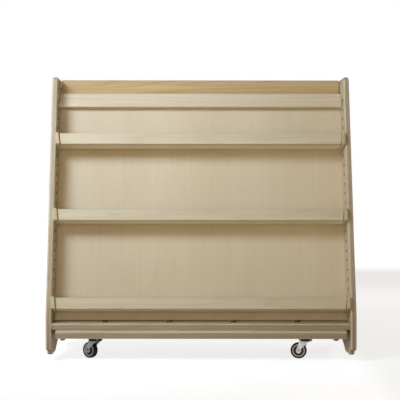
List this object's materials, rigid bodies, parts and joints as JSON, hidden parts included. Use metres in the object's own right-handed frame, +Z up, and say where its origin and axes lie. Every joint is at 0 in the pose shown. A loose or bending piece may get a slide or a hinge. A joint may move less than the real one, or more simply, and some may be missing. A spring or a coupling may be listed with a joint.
{
  "type": "book trolley",
  "caption": "Wooden A-frame book trolley with sloping display shelves on both sides and swivel casters, for showing picture books face on.",
  "frame": {"origin": "on the floor under the middle of the trolley", "axes": "+X along the shelves to the right as seen from the front, +Y from the front to the rear, +Z up"},
  "size_m": [0.96, 0.6014, 0.903],
  "materials": {
    "panel_wood": "satin lacquer",
    "rail_wood": "satin lacquer",
    "lip_wood": "satin lacquer",
    "shelf_wood": "satin lacquer",
    "display_wood": "satin lacquer",
    "ridge_wood": "satin lacquer",
    "zinc_plate": "zinc plated",
    "bright_steel": "bright zinc plated",
    "wheel_grey": "moulded",
    "tyre_rubber": "matt"
  },
  "bodies": {
    "frame": {"left_side_panel": "panel_wood", "right_side_panel": "panel_wood", "ridge_board": "ridge_wood", "base_board": "rail_wood", "front_top_rail": "rail_wood", "front_display_panel": "display_wood", "front_display_cleat": "rail_wood", "front_caster_board": "rail_wood", "front_low_shelf_board": "shelf_wood", "front_low_shelf_lip": "lip_wood", "front_low_left_cheek": "lip_wood", "front_low_right_cheek": "lip_wood", "front_middle_shelf_board": "shelf_wood", "front_middle_shelf_lip": "lip_wood", "front_middle_left_cheek": "lip_wood", "front_middle_right_cheek": "lip_wood", "front_top_shelf_board": "shelf_wood", "front_top_shelf_lip": "lip_wood", "front_top_left_cheek": "lip_wood", "front_top_right_cheek": "lip_wood", "rear_top_rail": "rail_wood", "rear_display_panel": "display_wood", "rear_display_cleat": "rail_wood", "rear_caster_board": "rail_wood", "rear_low_shelf_board": "shelf_wood", "rear_low_shelf_lip": "lip_wood", "rear_low_left_cheek": "lip_wood", "rear_low_right_cheek": "lip_wood", "rear_middle_shelf_board": "shelf_wood", "rear_middle_shelf_lip": "lip_wood", "rear_middle_left_cheek": "lip_wood", "rear_middle_right_cheek": "lip_wood", "rear_top_shelf_board": "shelf_wood", "rear_top_shelf_lip": "lip_wood", "rear_top_left_cheek": "lip_wood", "rear_top_right_cheek": "lip_wood", "front_left_caster_plate": "zinc_plate", "front_right_caster_plate": "zinc_plate", "rear_left_caster_plate": "zinc_plate", "rear_right_caster_plate": "zinc_plate"},
    "front_left_swivel": {"front_left_caster_fork": "zinc_plate", "front_left_caster_axle": "bright_steel"},
    "front_left_wheel": {"front_left_caster_wheel": "wheel_grey", "front_left_caster_tyre": "tyre_rubber"},
    "front_right_swivel": {"front_right_caster_fork": "zinc_plate", "front_right_caster_axle": "bright_steel"},
    "front_right_wheel": {"front_right_caster_wheel": "wheel_grey", "front_right_caster_tyre": "tyre_rubber"},
    "rear_left_swivel": {"rear_left_caster_fork": "zinc_plate", "rear_left_caster_axle": "bright_steel"},
    "rear_left_wheel": {"rear_left_caster_wheel": "wheel_grey", "rear_left_caster_tyre": "tyre_rubber"},
    "rear_right_swivel": {"rear_right_caster_fork": "zinc_plate", "rear_right_caster_axle": "bright_steel"},
    "rear_right_wheel": {"rear_right_caster_wheel": "wheel_grey", "rear_right_caster_tyre": "tyre_rubber"}
  },
  "joints": [
    {"name": "front_left_swivel_turn", "type": "hinge", "parent": "frame", "child": "front_left_swivel", "pos_m": [-0.334, -0.168, 0.0645], "axis": [0, 0, 1], "continuous": true},
    {"name": "front_left_wheel_spin", "type": "hinge", "parent": "front_left_swivel", "child": "front_left_wheel", "pos_m": [-0.35157, -0.15476, 0.026], "axis": [-0.6018, -0.7986, 0], "continuous": true},
    {"name": "front_right_swivel_turn", "type": "hinge", "parent": "frame", "child": "front_right_swivel", "pos_m": [0.334, -0.168, 0.0645], "axis": [0, 0, 1], "continuous": true},
    {"name": "front_right_wheel_spin", "type": "hinge", "parent": "front_right_swivel", "child": "front_right_wheel", "pos_m": [0.31221, -0.16494, 0.026], "axis": [-0.1392, -0.9903, 0], "continuous": true},
    {"name": "rear_left_swivel_turn", "type": "hinge", "parent": "frame", "child": "rear_left_swivel", "pos_m": [-0.362, 0.168, 0.0645], "axis": [0, 0, 1], "continuous": true},
    {"name": "rear_left_wheel_spin", "type": "hinge", "parent": "rear_left_swivel", "child": "rear_left_wheel", "pos_m": [-0.362, 0.19, 0.026], "axis": [-1, 0, 0], "continuous": true},
    {"name": "rear_right_swivel_turn", "type": "hinge", "parent": "frame", "child": "rear_right_swivel", "pos_m": [0.362, 0.168, 0.0645], "axis": [0, 0, 1], "continuous": true},
    {"name": "rear_right_wheel_spin", "type": "hinge", "parent": "rear_right_swivel", "child": "rear_right_wheel", "pos_m": [0.362, 0.19, 0.026], "axis": [-1, 0, 0], "continuous": true}
  ]
}
